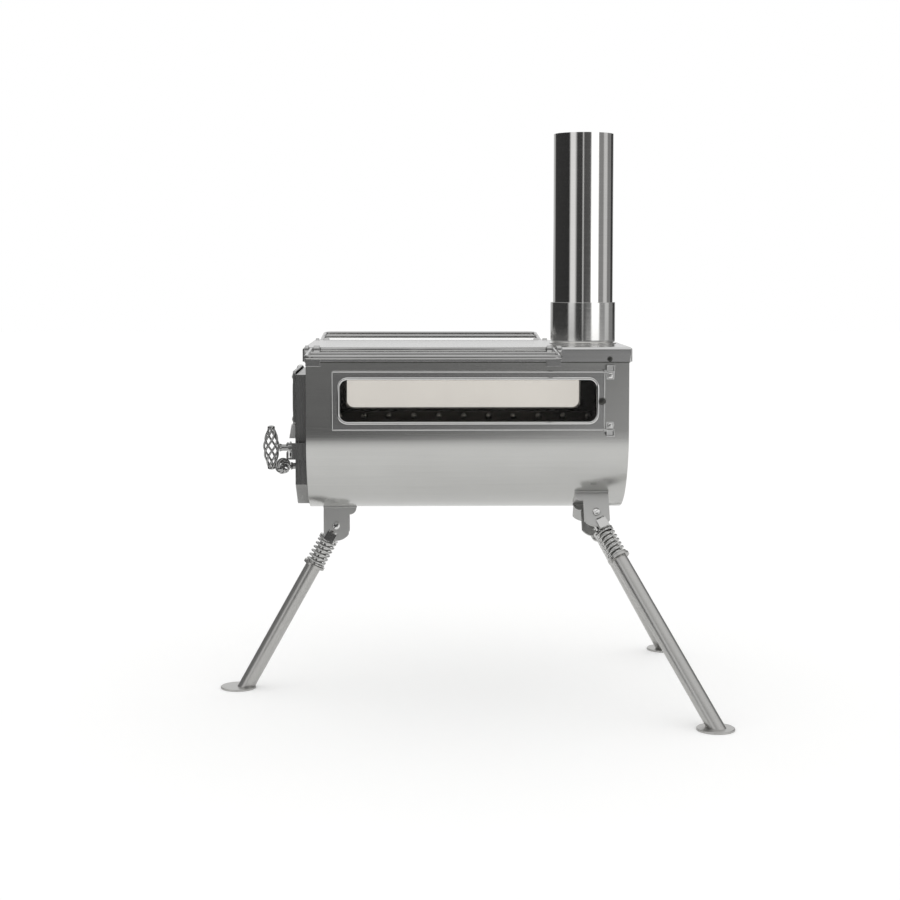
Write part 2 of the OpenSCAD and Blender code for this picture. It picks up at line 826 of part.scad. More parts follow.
module foot(leg) {
    y = axis_z * tan(leg[2]);
    color(STEEL) translate([leg[1] * foot_x, y, 0]) {
        cylinder(h = foot_t - 0.6, r = foot_r);
        translate([0, 0, foot_t - 0.6]) cylinder(h = 0.6, r1 = foot_r, r2 = foot_r - 0.6);
    }
}

// A plate that slides on the rod, with two arms that lie on the outside of the ears.
module lock_collar(leg) {
    inner = ear_gap / 2 + ear_t + 0.4;
    outer = inner + arm_t;
    color(BRIGHT) down_leg(leg) difference() {
        union() {
            leg_rod_between(collar_s, 12);
            translate([-arm_w / 2, -outer, -collar_s[1]])
                cube([arm_w, 2 * outer, collar_s[1] - collar_s[0]]);
            for (y = [-outer, inner]) {
                translate([-arm_w / 2, y, -collar_s[1]])
                    cube([arm_w, arm_t, collar_s[1] - arm_top_s - 4]);
                along_y(y, y + arm_t) translate([0, -arm_top_s - 4])
                    intersection() {
                        circle(arm_w / 2 + 1, $fn = 48);
                        translate([-arm_w / 2, -4]) square([arm_w, 8]);
                    }
            }
        }
        leg_rod_between([0, 60], rod_r + run);
    }
}

// Centre line of a lock spring, from the collar to the washer. The ends run straight.
function spring_points() =
    let (lead = spring_wire, s0 = spring_s[0] + lead, s1 = spring_s[1] - lead,
         n = 8 * spring_turns)
    concat([[spring_r, 0, -spring_s[0]]],
        [for (i = [0:n]) let (a = i * 45, s = s0 + (s1 - s0) * i / n)
            [spring_r * cos(a), spring_r * sin(a), -s]],
        [[spring_r, 0, -spring_s[1]]]);

// Least distance between two points of the spring that are over half a turn apart.
function spring_gap(p) =
    min([for (i = [1:len(p) - 6], j = [i + 5:len(p) - 2]) norm(p[i] - p[j])]) - spring_wire;

module lock_spring(leg) {
    color(BRIGHT) down_leg(leg) tube_along(spring_points(), spring_wire / 2, 6);
}

echo(least_gap_between_turns_mm = spring_gap(spring_points()));

firebox_shell();
front_plate();
rear_plate();
top_plate();
flue_collar();
flue_pipe();
window_frame();  // window_frame_near
far() window_frame();  // window_frame_far
window_glass();  // window_glass_near
far() window_glass();  // window_glass_far
window_gasket();  // window_gasket_near
far() window_gasket();  // window_gasket_far
window_clips();  // window_clips_near
far() window_clips();  // window_clips_far
side_liner();  // side_liner_near
far() side_liner();  // side_liner_far
fire_grate();
rack_lugs();  // rack_lugs_near
far() rack_lugs();  // rack_lugs_far
rack(droop_near);  // rack_near
far() rack(droop_far);  // rack_far
latch_keeper();
hinge_leaf(hinge_z[1]);  // hinge_leaf_upper
hinge_leaf(hinge_z[0]);  // hinge_leaf_lower
hinge_pin(hinge_z[1]);  // hinge_pin_upper
hinge_pin(hinge_z[0]);  // hinge_pin_lower
door_panel();
door_window_frame();
door_glass();
door_retainer();
door_strap(hinge_z[1]);  // door_strap_upper
door_strap(hinge_z[0]);  // door_strap_lower
vent_hood();
latch_stem();
latch_basket();
damper_disc();
damper_basket();
leg_bracket(LEG_FRONT);  // leg_bracket_front
leg_bracket(LEG_REAR_NEAR);  // leg_bracket_rear_near
leg_bracket(LEG_REAR_FAR);  // leg_bracket_rear_far
pivot_bolt(LEG_FRONT);  // pivot_bolt_front
pivot_bolt(LEG_REAR_NEAR);  // pivot_bolt_rear_near
pivot_bolt(LEG_REAR_FAR);  // pivot_bolt_rear_far
leg_rod(LEG_FRONT);  // leg_rod_front
leg_rod(LEG_REAR_NEAR);  // leg_rod_rear_near
leg_rod(LEG_REAR_FAR);  // leg_rod_rear_far
leg_tube(LEG_FRONT);  // leg_tube_front
leg_tube(LEG_REAR_NEAR);  // leg_tube_rear_near
leg_tube(LEG_REAR_FAR);  // leg_tube_rear_far
foot(LEG_FRONT);  // foot_front
foot(LEG_REAR_NEAR);  // foot_rear_near
foot(LEG_REAR_FAR);  // foot_rear_far
lock_collar(LEG_FRONT);  // lock_collar_front
lock_collar(LEG_REAR_NEAR);  // lock_collar_rear_near
lock_collar(LEG_REAR_FAR);  // lock_collar_rear_far
lock_spring(LEG_FRONT);  // lock_spring_front
lock_spring(LEG_REAR_NEAR);  // lock_spring_rear_near
lock_spring(LEG_REAR_FAR);  // lock_spring_rear_far
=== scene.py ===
"""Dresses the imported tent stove: steel finishes, smooth springs, racks and basket
handles, screws, studio light and a camera at the photograph's viewing angle."""
import json
import math

import bmesh
import bpy
from mathutils import Matrix, Quaternion, Vector


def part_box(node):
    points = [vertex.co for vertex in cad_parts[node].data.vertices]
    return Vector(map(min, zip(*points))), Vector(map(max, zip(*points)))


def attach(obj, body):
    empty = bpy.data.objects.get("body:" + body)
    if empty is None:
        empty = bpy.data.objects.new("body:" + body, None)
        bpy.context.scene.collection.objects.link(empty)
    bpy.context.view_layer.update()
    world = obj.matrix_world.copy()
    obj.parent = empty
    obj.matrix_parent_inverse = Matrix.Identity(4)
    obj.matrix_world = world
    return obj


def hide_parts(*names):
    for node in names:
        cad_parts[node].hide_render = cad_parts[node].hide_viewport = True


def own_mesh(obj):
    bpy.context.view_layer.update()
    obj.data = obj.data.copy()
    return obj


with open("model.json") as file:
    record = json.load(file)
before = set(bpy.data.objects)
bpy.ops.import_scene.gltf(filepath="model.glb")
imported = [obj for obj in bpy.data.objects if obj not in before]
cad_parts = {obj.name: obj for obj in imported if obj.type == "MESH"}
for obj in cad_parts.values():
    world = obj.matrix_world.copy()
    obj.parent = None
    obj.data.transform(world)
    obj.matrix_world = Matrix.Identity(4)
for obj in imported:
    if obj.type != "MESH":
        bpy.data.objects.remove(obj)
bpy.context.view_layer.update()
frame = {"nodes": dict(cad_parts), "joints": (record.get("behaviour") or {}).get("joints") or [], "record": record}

NODES = frame["nodes"]
RECORD = frame["record"]
BODY_OF = {n: b for b, ns in RECORD["behaviour"]["bodies"].items() for n in ns}
JOINTS = {j["name"]: j for j in frame["joints"]}
MM = 0.001
SIDES = (("near", -1), ("far", 1))          # each long side and its direction along Y
LEGS = ("front", "rear_near", "rear_far")


# ---- materials --------------------------------------------------------------------------

FIRE_MIDDLE = (0.002, 0.0, 0.33)            # a point in the middle of the firebox
# Faces that look into the firebox get painted shade: a darker colour standing in for the firebox's shade.
INSIDE_SHADE_BLEND = 4 * MM                       # a face whose plane is this near it is half dark
BRUSH_ALONG, BRUSH_ACROSS = 14.0, 2600.0    # noise cells per metre in brushed steel
WIDE_BRUSH = 0.35                           # scale of the broader brush lines
BRUSH_RELIEF = 0.04 * MM
TWO_NOISES = {"From_Min": 0.7, "From_Max": 1.3}     # where the sum of two noises lies
ROUGH_SPREAD, ROUGH_LEAST = 0.03, 0.02
CLOUDS = 14.0                               # soft stains per metre
GLASS_IOR = 1.2                             # low, which keeps the panes' reflections weak
GLASS_HAZE = 0.03                           # greatest roughness of the panes
FELT_GRAIN, FELT_RELIEF = 900.0, 0.2 * MM


def node_maker(tree):
    """A function that adds a node, sets its inputs and links to them. An input is given
    by its name, or as _ and its number."""
    def make(kind, props=None, **inputs):
        n = tree.nodes.new(kind)
        for k, v in (props or {}).items():
            setattr(n, k, v)
        for k, v in inputs.items():
            socket = n.inputs[int(k[1:])] if k[0] == "_" else n.inputs[k.replace("_", " ")]
            if isinstance(v, bpy.types.NodeSocket):
                tree.links.new(v, socket)
            else:
                socket.default_value = v
        return n
    return make


def ramp(make, value, stops):
    """The colour of a ramp with the given (place, grey or colour) stops."""
    n = make("ShaderNodeValToRGB", Fac=value)
    marks = n.color_ramp.elements
    while len(marks) < len(stops):
        marks.new(0.5)
    for mark, (place, colour) in zip(marks, stops):
        mark.position = place
        mark.color = (*(colour if isinstance(colour, tuple) else (colour,) * 3), 1)
    return n.outputs[0]


def mixed(make, share, first, second, blend="MIX"):
    """Two colours mixed. A share of 1 gives all of the second."""
    return make("ShaderNodeMix", {"data_type": "RGBA", "blend_type": blend},
                _0=share, _6=first, _7=second).outputs[2]


def fresh_material(name):
    mat = bpy.data.materials.new(name)
    mat.use_nodes = True
    tree = mat.node_tree
    shader = tree.nodes["Principled BSDF"]
    return mat, tree, shader, node_maker(tree)


def brush_lines(make, coord, grain):
    """Fine and broad noise, drawn out along the brush lines and added."""
    if grain == "round":
        scale = (BRUSH_ALONG * 2, BRUSH_ALONG * 2, BRUSH_ACROSS)
    else:
        scale = tuple(BRUSH_ALONG if axis == grain else BRUSH_ACROSS for axis in "xyz")
    layers = []
    for size, detail, roughness in ((1.0, 2.0, 0.6), (WIDE_BRUSH, 3.0, 0.55)):
        place = make("ShaderNodeMapping", Vector=coord,
                     Scale=tuple(s * size for s in scale)).outputs[0]
        layers.append(make("ShaderNodeTexNoise", Vector=place, Scale=1.0, Detail=detail,
                           Roughness=roughness).outputs[0])
    return make("ShaderNodeMath", {"operation": "ADD"}, _0=layers[0], _1=layers[1]).outputs[0]


def painted_firebox_shade(make, colour, place, inside_shade):
    """The colour with painted shade: darker on the faces that look towards the middle of the firebox, standing in
    for the shade inside it.
    """
    from_fire = make("ShaderNodeVectorMath", {"operation": "SUBTRACT"}, _0=place["Object"],
                     _1=FIRE_MIDDLE).outputs[0]
    outward = make("ShaderNodeVectorMath", {"operation": "DOT_PRODUCT"}, _0=from_fire,
                   _1=place["Normal"]).outputs["Value"]
    step = make("ShaderNodeMapRange", Value=outward, From_Min=-INSIDE_SHADE_BLEND,
                From_Max=INSIDE_SHADE_BLEND).outputs[0]
    return mixed(make, 1.0, colour, ramp(make, step, [(0.0, inside_shade), (1.0, 1.0)]), "MULTIPLY")


def steel(name, base, rough, grain="x", streak=0.05, lines=0.12, cloud=0.02, inside_shade=None):
    """Brushed steel. Grain is the axis that the brush lines run along, or "round" for
    lines round Z. Streak tints the lines, cloud stains softly, lines sets their bump.
    The last argument sets how light the faces that look into the firebox stay under this painted shade."""
    mat, tree, shader, make = fresh_material(name)
    place = make("ShaderNodeTexCoord").outputs
    brushed = brush_lines(make, place["Object"], grain)
    low = tuple(c * (1 - streak) for c in base)
    high = tuple(min(c * (1 + streak), 1) for c in base)
    shade = make("ShaderNodeMapRange", Value=brushed, **TWO_NOISES).outputs[0]
    tint = ramp(make, shade, [(0.0, low), (1.0, high)])
    clouds = make("ShaderNodeTexNoise", Vector=place["Object"], Scale=CLOUDS, Detail=4.0,
                  Roughness=0.6).outputs[0]
    stain = ramp(make, clouds, [(0.3, 1 - 2 * cloud), (0.7, 1.0)])
    colour = mixed(make, 1.0, tint, stain, "MULTIPLY")
    # Painted shade: faces that look into the firebox are darkened to stand in for the shade inside it.
    if inside_shade is not None:
        colour = painted_firebox_shade(make, colour, place, inside_shade)
    roughness = make("ShaderNodeMapRange", Value=brushed, **TWO_NOISES,
                     To_Min=max(rough - ROUGH_SPREAD, ROUGH_LEAST),
                     To_Max=rough + ROUGH_SPREAD).outputs[0]
    bump = make("ShaderNodeBump", Strength=lines, Distance=BRUSH_RELIEF, Height=brushed)
    tree.links.new(colour, shader.inputs["Base Color"])
    tree.links.new(roughness, shader.inputs["Roughness"])
    tree.links.new(bump.outputs[0], shader.inputs["Normal"])
    shader.inputs["Metallic"].default_value = 1.0
    return mat


def glass(name, tint):
    """A clear pane with a light smoke tint and a little haze."""
    mat, tree, shader, make = fresh_material(name)
    coord = make("ShaderNodeTexCoord").outputs["Object"]
    haze = make("ShaderNodeTexNoise", Vector=coord, Scale=9.0, Detail=3.0).outputs[0]
    smoky = tuple(c * 0.96 for c in tint)
    roughness = make("ShaderNodeMapRange", Value=haze, From_Min=0.4, From_Max=0.8,
                     To_Min=0.0, To_Max=GLASS_HAZE).outputs[0]
    tree.links.new(ramp(make, haze, [(0.35, smoky), (0.7, tint)]), shader.inputs["Base Color"])
    tree.links.new(roughness, shader.inputs["Roughness"])
    shader.inputs["Transmission Weight"].default_value = 1.0
    shader.inputs["IOR"].default_value = GLASS_IOR
    return mat


def felt(name, base):
    """Woven gasket cord. It also makes the dark strip under the lid, which is a painted shadow."""
    mat, tree, shader, make = fresh_material(name)
    coord = make("ShaderNodeTexCoord").outputs["Object"]
    weave = make("ShaderNodeTexVoronoi", Vector=coord, Scale=FELT_GRAIN).outputs["Distance"]
    shadow = tuple(c * 0.75 for c in base)
    bump = make("ShaderNodeBump", Strength=0.6, Distance=FELT_RELIEF, Height=weave)
    tree.links.new(ramp(make, weave, [(0.0, base), (0.9, shadow)]),
                   shader.inputs["Base Color"])
    tree.links.new(bump.outputs[0], shader.inputs["Normal"])
    shader.inputs["Roughness"].default_value = 0.95
    return mat


MATS = {
    # The body's, ends' and lid's steel get painted shade on the faces that look into the firebox.
    "body": steel("body_steel", (0.62, 0.62, 0.605), 0.22, "x", inside_shade=0.12),
    "end": steel("end_steel", (0.56, 0.56, 0.545), 0.26, "y", inside_shade=0.12),
    "top": steel("top_steel", (0.71, 0.71, 0.705), 0.20, "x", inside_shade=0.12),
    "collar": steel("collar_steel", (0.80, 0.795, 0.78), 0.12, "round", streak=0.04),
    "pipe": steel("pipe_steel", (0.80, 0.79, 0.775), 0.08, "round", streak=0.03, lines=0.08),
    "frame": steel("frame_steel", (0.56, 0.56, 0.555), 0.24, "x"),
    # Edge: the frame's own steel made lighter, a painted highlight along its rolled edge.
    "edge": steel("frame_edge_highlight_steel", (0.72, 0.72, 0.71), 0.16, "x"),
    "door": steel("door_steel", (0.36, 0.36, 0.355), 0.26, "z"),
    # Liner and grate: bare steel given a near-black colour, a painted shade for the dark inside of the firebox.
    "liner": steel("liner_steel", (0.05, 0.046, 0.04), 0.40, "x", streak=0.2, cloud=0.2),
    "bolt": steel("bolt_steel", (0.34, 0.33, 0.31), 0.22, "x"),
    "rack": steel("rack_steel", (0.46, 0.46, 0.455), 0.14, "x", streak=0.03, lines=0.08),
    "handle": steel("handle_steel", (0.40, 0.40, 0.395), 0.10, "x", streak=0.02, lines=0.05),
    "hood": steel("hood_steel", (0.88, 0.88, 0.87), 0.55, "z"),
    "leg": steel("leg_steel", (0.56, 0.555, 0.54), 0.30, "z"),
    "bracket": steel("bracket_steel", (0.54, 0.54, 0.53), 0.38, "z", streak=0.02, lines=0.06),
    "spring": steel("spring_steel", (0.66, 0.66, 0.65), 0.08, "x", streak=0.02, lines=0.05),
    "bright": steel("bright_steel", (0.84, 0.84, 0.83), 0.07, "x", streak=0.02, lines=0.05),
    "dark": steel("dark_steel", (0.10, 0.10, 0.095), 0.30, "x", streak=0.1, cloud=0.1),
    "glass": glass("window_glass", (0.815, 0.795, 0.765)),
    "felt": felt("gasket_felt", (0.70, 0.68, 0.63)),
    # A near-black strip under the lid's lip: a painted shadow line where the lip shades the wall.
    "lid_shadow": felt("lid_shadow_felt", (0.06, 0.06, 0.055)),
}
LOOK = {
    "firebox_shell": "body", "front_plate": "end", "rear_plate": "end", "top_plate": "top",
    "flue_collar": "collar", "flue_pipe": "pipe", "window_frame": "frame",
    "window_glass": "glass", "window_gasket": "felt", "window_clips": "bright",
    "side_liner": "liner", "fire_grate": "liner", "rack_lugs": "frame", "rack_": "rack",
    "latch_keeper": "door", "hinge_leaf": "door", "hinge_pin": "bright",
    "door_glass": "glass", "door_": "door", "vent_hood": "hood",
    "latch_": "handle", "damper_": "handle", "leg_bracket": "bracket",
    "leg_tube": "leg", "leg_rod": "spring", "foot_": "leg", "pivot_bolt": "bright",
    "lock_": "spring",
}


def look_of(node):
    """The material for a node: the longest name in LOOK that it starts with."""
    return MATS[LOOK[max((k for k in LOOK if node.startswith(k)), key=len)]]


# ---- mesh helpers -----------------------------------------------------------------------

def add_piece(name, mesh, like, replaces=(), material=None, smooth=None):
    """Puts a mesh in the scene as a piece that rides with the node it is like. Edges
    sharper than smooth, in degrees, stay sharp."""
    obj = bpy.data.objects.new(name, mesh)
    bpy.context.scene.collection.objects.link(obj)
    mesh.materials.clear()
    mesh.materials.append(material or look_of(like))
    for p in mesh.polygons:
        p.use_smooth = True
    if smooth:
        mesh.set_sharp_from_angle(angle=math.radians(smooth))
    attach(obj, BODY_OF[like])
    if replaces:
        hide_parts(*replaces)
    return obj


def mesh_from(name, verts, faces):
    mesh = bpy.data.meshes.new(name)
    mesh.from_pydata([tuple(v) for v in verts], [], faces)
    mesh.validate()
    return mesh


def joined(parts):
    """One list of vertices and faces from several."""
    verts, faces = [], []
    for v, f in parts:
        base = len(verts)
        verts += v
        faces += [tuple(base + i for i in q) for q in f]
    return verts, faces


def circle_point(radius, angle, height=0.0):
    return Vector((radius * math.cos(angle), radius * math.sin(angle), height))


def ring_faces(rings, sides):
    """Four-sided faces between rings of vertices, closed by a cap at each end."""
    faces = []
    for i in range(rings - 1):
        for k in range(sides):
            a, b = i * sides + k, i * sides + (k + 1) % sides
            faces.append((a, b, b + sides, a + sides))
    faces.append(tuple(reversed(range(sides))))
    faces.append(tuple((rings - 1) * sides + k for k in range(sides)))
    return faces


def even_frame(points, closed):
    """At each point of a line its direction and a side direction that doesn't spin, and
    for a closed line the angle that is left over at its end."""
    n = len(points)
    ways = []
    for i in range(n):
        a = points[(i - 1) % n] if closed or i > 0 else points[i]
        b = points[(i + 1) % n] if closed or i < n - 1 else points[i]
        ways.append((b - a).normalized())
    side = ways[0].orthogonal().normalized()
    side_ways = [side]
    for i in range(1, n):
        side = ways[i - 1].rotation_difference(ways[i]) @ side
        side_ways.append((side - ways[i] * side.dot(ways[i])).normalized())
    left_over = 0.0
    if closed:
        last = ways[-1].rotation_difference(ways[0]) @ side_ways[-1]
        up = ways[0].cross(side_ways[0])
        left_over = -math.atan2(last.dot(up), last.dot(side_ways[0]))
    return ways, side_ways, left_over


def tube(points, radius, sides, closed=False):
    """Vertices and faces of a round tube along points. Its radius is one number, or one
    for each point."""
    pts = [Vector(p) for p in points]
    n = len(pts)
    ways, side_ways, left_over = even_frame(pts, closed)
    radii = radius if isinstance(radius, list) else [radius] * n
    verts = []
    for i, (p, way, side) in enumerate(zip(pts, ways, side_ways)):
        up = way.cross(side)
        shift = left_over * i / n
        for k in range(sides):
            a = 2 * math.pi * k / sides + shift
            verts.append(p + (side * math.cos(a) + up * math.sin(a)) * radii[i])
    if not closed:
        return verts, ring_faces(n, sides)
    faces = []
    for i in range(n):
        here, there = i * sides, (i + 1) % n * sides
        for k in range(sides):
            faces.append((here + k, here + (k + 1) % sides,
                          there + (k + 1) % sides, there + k))
    return verts, faces


AXIS_TURNS = {"z": Quaternion(), "x": Quaternion((0, 1, 0), math.pi / 2),
              "y": Quaternion((1, 0, 0), -math.pi / 2), "-y": Quaternion((1, 0, 0), math.pi / 2)}


def revolve(profile, axis, centre, sides):
    """A turned solid from (radius, height) points. Its axis is one of AXIS_TURNS, or a
    matrix."""
    turn = AXIS_TURNS[axis].to_matrix() if isinstance(axis, str) else axis
    verts = [circle_point(r, 2 * math.pi * k / sides, h)
             for r, h in profile for k in range(sides)]
    return [turn @ v + Vector(centre) for v in verts], ring_faces(len(profile), sides)


def facing(out, towards):
    """A matrix that turns +Z to a direction and +X towards another."""
    z = Vector(out).normalized()
    x = Vector(towards)
    x = (x - z * x.dot(z)).normalized()
    return Matrix((x, z.cross(x), z)).transposed()


# ---- edges of the sheet metal -----------------------------------------------------------

EDGE = {     # how wide each node's edges are softened, in millimetres
    "top_plate": 0.25, "firebox_shell": 0.3, "front_plate": 0.3, "rear_plate": 0.3,
    "window_frame_near": 0.2, "window_frame_far": 0.2, "door_panel": 0.8,
    "door_window_frame": 0.4, "vent_hood": 0.4, "latch_keeper": 0.4,
    "leg_bracket_front": 0.3, "leg_bracket_rear_near": 0.3, "leg_bracket_rear_far": 0.3,
    "lock_collar_front": 0.2, "lock_collar_rear_near": 0.2, "lock_collar_rear_far": 0.2,
    "window_clips_near": 0.2, "window_clips_far": 0.2, "flue_collar": 0.4,
    "hinge_leaf_upper": 0.2, "hinge_leaf_lower": 0.2, "door_strap_upper": 0.2,
    "door_strap_lower": 0.2, "rack_lugs_near": 0.6, "rack_lugs_far": 0.6,
    "damper_disc": 0.15, "latch_stem": 0.3, "foot_front": 0.3, "foot_rear_near": 0.3,
    "foot_rear_far": 0.3,
}
KEEP_HOLES_SHARP = ("leg_bracket", "door_panel")
SOFT_FROM = math.radians(28)       # edges that bend more than this are softened
FLAT_BELOW = math.radians(0.5)     # faces that bend less than this are one face
HOLLOW_FROM = 0.03                 # radians of bend that make an inside corner
WELD_WITHIN = 2e-6
ROOM_SHARE = 0.38                  # the part of a face's width that an edge may take
SOFT_SEGMENTS = 2


def face_room(face, edge):
    """How wide a face is, measured square to the middle of one of its edges."""
    a, b = (v.co for v in edge.verts)
    middle, along = (a + b) / 2, (b - a).normalized()
    own = next(loop for loop in face.loops if loop.edge == edge)
    step = own.link_loop_next.vert.co - own.vert.co
    inward = face.normal.cross(step).normalized()
    best = 1.0
    for other in face.edges:
        if other == edge:
            continue
        p, q = (v.co - middle for v in other.verts)
        p_along, q_along = p.dot(along), q.dot(along)
        if p_along * q_along > 0 or abs(p_along - q_along) < 1e-9:
            continue
        reach = p.lerp(q, p_along / (p_along - q_along)).dot(inward)
        if 1e-6 < reach < best:
            best = reach
    return best


def in_a_hole(edge):
    """Whether one of the faces at an edge is the wall of a hole or a notch."""
    for face in edge.link_faces:
        beside = [e for e in face.edges if e != edge and set(e.verts) & set(edge.verts)
                  and len(e.link_faces) == 2]
        if beside and all(not e.is_convex and e.calc_face_angle(0) > HOLLOW_FROM
                          for e in beside):
            return True
    return False


def weigh_edges(bm, width, skip_holes):
    """Gives each edge to be softened a weight up to 1. It is less where a face is too
    narrow for the full width, and evened out between edges that meet."""
    weight = bm.edges.layers.float.new("bevel_weight_edge")
    for edge in bm.edges:
        edge.smooth = True
        if skip_holes and in_a_hole(edge):
            edge.smooth = edge.calc_face_angle(0) < SOFT_FROM
        elif len(edge.link_faces) == 2 and edge.calc_face_angle(0) > SOFT_FROM:
            room = min(face_room(f, edge) for f in edge.link_faces)
            edge[weight] = min(1.0, ROOM_SHARE * room / width)
    least = {v: min((e[weight] for e in v.link_edges if e[weight] > 0), default=0)
             for v in bm.verts}
    for edge in bm.edges:
        if edge[weight] > 0:
            edge[weight] = min(least[v] for v in edge.verts)


def soften(node, width):
    """A copy of a node's shape with softened edges, in its place."""
    bm = bmesh.new()
    bm.from_mesh(NODES[node].data)
    bmesh.ops.remove_doubles(bm, verts=bm.verts, dist=WELD_WITHIN)
    bmesh.ops.dissolve_limit(bm, angle_limit=FLAT_BELOW, verts=bm.verts, edges=bm.edges)
    bmesh.ops.recalc_face_normals(bm, faces=bm.faces)
    weigh_edges(bm, width, node.startswith(KEEP_HOLES_SHARP))
    bmesh.ops.triangulate(bm, faces=[f for f in bm.faces if len(f.verts) > 4])
    mesh = bpy.data.meshes.new(node + "_soft")
    bm.to_mesh(mesh)
    bm.free()
    obj = add_piece(node + "_soft", mesh, node, (node,))
    bevel = obj.modifiers.new("edge", "BEVEL")
    bevel.width = width
    bevel.segments = SOFT_SEGMENTS
    bevel.limit_method = "WEIGHT"
    bevel.use_clamp_overlap = False
    bevel.face_strength_mode = "FSTR_ALL"
    weighted = obj.modifiers.new("normals", "WEIGHTED_NORMAL")
    weighted.use_face_influence = True
    weighted.keep_sharp = True


for node_name, edge_width in EDGE.items():
    soften(node_name, edge_width * MM)


# ---- springs ----------------------------------------------------------------------------

SPRING_R, SPRING_WIRE, SPRING_TURNS = 10.7 * MM, 2.6 * MM, 6
COLLAR_S, WASHER_S = 21.05 * MM, 55.5 * MM     # the spring's ends, measured from the pivot
POINTS_PER_TURN, SPRING_SIDES = 40, 12
FLAT_END = 0.5                                 # the turn's part that lies flat at each end


def spring(leg):
    """A wound spring from the lock collar to the washer, with its end turns closed."""
    fold, slide = JOINTS[f"leg_{leg}_fold"], JOINTS[f"lock_{leg}_slide"]
    pivot, down = Vector(fold["pos_m"]), Vector(slide["axis"]).normalized()
    out = Vector(fold["axis"]).normalized()
    across = down.cross(out).normalized()
    first, last = COLLAR_S + SPRING_WIRE / 2, WASHER_S - SPRING_WIRE / 2
    points = []
    for i in range(POINTS_PER_TURN * (SPRING_TURNS + 1) + 1):
        turns = i / POINTS_PER_TURN
        risen = min(max((turns - FLAT_END) / SPRING_TURNS, 0), 1)
        x, y = circle_point(SPRING_R, 2 * math.pi * turns).xy
        points.append(pivot + down * (first + (last - first) * risen) + out * x + across * y)
    mesh = mesh_from(f"spring_{leg}", *tube(points, SPRING_WIRE / 2, SPRING_SIDES))
    node = f"lock_spring_{leg}"
    obj = add_piece(f"spring_{leg}", mesh, node, (node,), smooth=50)
    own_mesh(obj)


for leg_name in LEGS:
    spring(leg_name)


# ---- racks ------------------------------------------------------------------------------

RACK_X = (-178 * MM, 101 * MM)                 # the two bent ends of the outer rod
RACK_OUT, RACK_MID = 97.4 * MM, 59 * MM        # outer and middle rod, from the hinge
RACK_ROD, RACK_MID_ROD, RACK_HINGE_ROD = 2.4 * MM, 2.2 * MM, 2.5 * MM      # radii
RACK_BEND, RACK_CHAMFER = 8 * MM, 0.5 * MM
RACK_DROOP = {"near": 2.5, "far": -4.2}        # degrees down from level
BEND_STEPS, ROD_SIDES, BEAD_SIDES = 12, 20, 16
# Beads of weld as (radius, height). The first has them as shares of the middle rod's
# radius and of the outer rod's, the second in millimetres.
MID_BEAD = ((1.0, 0.5), (1.45, 0.75), (1.4, 1.15), (1.12, 1.4), (0.98, 1.5))
HINGE_BEAD = ((2.05, 2.2), (2.6, 2.6), (2.4, 3.2), (1.9, 3.6))


def bent_rod(x0, x1):
    """The outer rod's line as (along, out) points: out, along and back to the hinge."""
    line = [(x0, 0.0)]
    for middle, first in ((x0 + RACK_BEND, 180), (x1 - RACK_BEND, 90)):
        for k in range(BEND_STEPS + 1):
            x, y = circle_point(RACK_BEND, math.radians(first - 90 * k / BEND_STEPS)).xy
            line.append((middle + x, RACK_OUT - RACK_BEND + y))
    return line + [(x1, 0.0)]


def rack(side, sign):
    """A hinge rod, a bent rod and a middle rod, with a small bead of weld at each joint."""
    node = f"rack_{side}"
    _, hinge_y, hinge_z = JOINTS[f"{node}_fold"]["pos_m"]
    tilt = math.radians(RACK_DROOP[side])

    def place(x, out):
        return Vector((x, hinge_y + sign * out * math.cos(tilt), hinge_z - out * math.sin(tilt)))

    x0, x1 = RACK_X
    low, high = (corner.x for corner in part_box(node))
    slim = RACK_HINGE_ROD - RACK_CHAMFER
    hinge_line = [place(x, 0) for x in (low, low + RACK_CHAMFER, high - RACK_CHAMFER, high)]
    parts = [tube([place(x, out) for x, out in bent_rod(x0, x1)], RACK_ROD, ROD_SIDES),
             tube(hinge_line, [slim, RACK_HINGE_ROD, RACK_HINGE_ROD, slim], ROD_SIDES),
             tube([place(x0, RACK_MID), place(x1, RACK_MID)], RACK_MID_ROD, ROD_SIDES)]
    bead = [(RACK_MID_ROD * r, RACK_ROD * h) for r, h in MID_BEAD]
    mirrored = [(r, -h) for r, h in reversed(bead)]
    for x, profile in ((x0, bead), (x1, mirrored)):
        parts.append(revolve(profile, "x", place(x, RACK_MID), BEAD_SIDES))
        parts.append(revolve([(r * MM, h * MM) for r, h in HINGE_BEAD],
                             "-y" if side == "near" else "y", place(x, 0), BEAD_SIDES))
    add_piece(f"{node}_rods", mesh_from(node, *joined(parts)), node, (node,), smooth=60)


for side, sign in SIDES:
    rack(side, sign)


# ---- basket handles ---------------------------------------------------------------------

BASKET_L, BASKET_R = 52 * MM, 9.7 * MM
BASKET_WIRE, BASKET_WIRES = 2.5 * MM, 6
BASKET_END_R = 2.7 * MM                        # where the wires meet at each end
BASKET_TWIST = 230                             # degrees that each wire turns
BASKET_CAP, INTO_CAP = 3 * MM, 0.6 * MM        # a cap's length, and the wires' reach into it
BASKET_STEPS, WIRE_SIDES, CAP_SIDES = 56, 10, 28


def basket_wire(start):
    """The line of one wire, from its angle at the first end."""
    half = BASKET_L / 2 - BASKET_CAP + INTO_CAP
    belly = BASKET_R - BASKET_WIRE / 2 - BASKET_END_R
    points = []
    for i in range(BASKET_STEPS + 1):
        u = i / BASKET_STEPS
        points.append(circle_point(BASKET_END_R + belly * math.sin(math.pi * u),
                                   math.radians(start + BASKET_TWIST * u),
                                   (2 * u - 1) * half))
    return points


